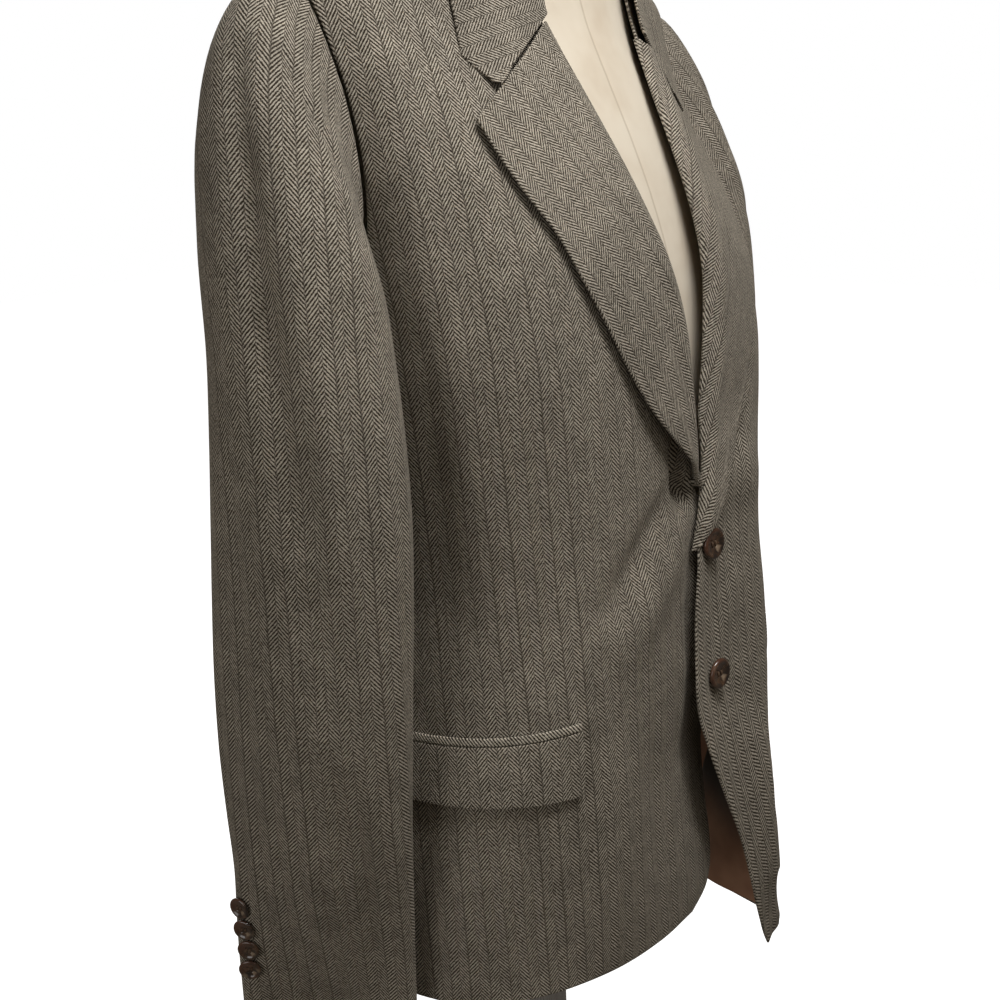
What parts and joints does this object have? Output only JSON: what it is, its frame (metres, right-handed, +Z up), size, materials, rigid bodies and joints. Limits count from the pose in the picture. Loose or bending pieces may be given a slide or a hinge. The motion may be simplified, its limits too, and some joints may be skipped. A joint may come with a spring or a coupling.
{
  "type": "tweed jacket on a limbless dress form",
  "caption": "A single-breasted notch-lapel tweed jacket in brown herringbone, buttoned on a cloth-covered limbless dress form with a pole and round wooden base.",
  "frame": {"origin": "The centre of the underside of the round base, where the stand rests on the floor.", "axes": "+Z is up from the floor, -Y is the way the jacket's front faces, and +X is the wearer's left."},
  "size_m": [0.582, 0.38, 1.5513],
  "materials": {
    "tweed": "herringbone wool tweed, brown and beige",
    "lining": "plain dusty pink-brown lining",
    "horn": "polished dark brown horn",
    "form_cover": "plain ivory cotton cover",
    "wood": "varnished dark beech",
    "steel": "brushed"
  },
  "bodies": {
    "root": {"front_right": "tweed", "front_left": "tweed", "side_right": "tweed", "side_left": "tweed", "back_right": "tweed", "back_left": "tweed", "lapel_right": "tweed", "lapel_left": "tweed", "collar": "tweed", "collar_stand": "tweed", "top_sleeve_right": "tweed", "under_sleeve_right": "tweed", "top_sleeve_left": "tweed", "under_sleeve_left": "tweed", "pocket_jetting_right": "tweed", "pocket_flap_right": "tweed", "pocket_jetting_left": "tweed", "pocket_flap_left": "tweed", "lining_left_front": "lining", "front_button_1": "horn", "front_button_2": "horn", "cuff_button_right_1": "horn", "cuff_button_right_2": "horn", "cuff_button_right_3": "horn", "cuff_button_right_4": "horn", "cuff_button_left_1": "horn", "cuff_button_left_2": "horn", "cuff_button_left_3": "horn", "cuff_button_left_4": "horn", "form_torso": "form_cover", "form_neck_cap": "wood", "form_socket": "steel", "form_pole": "steel", "form_base": "wood"}
  },
  "joints": []
}
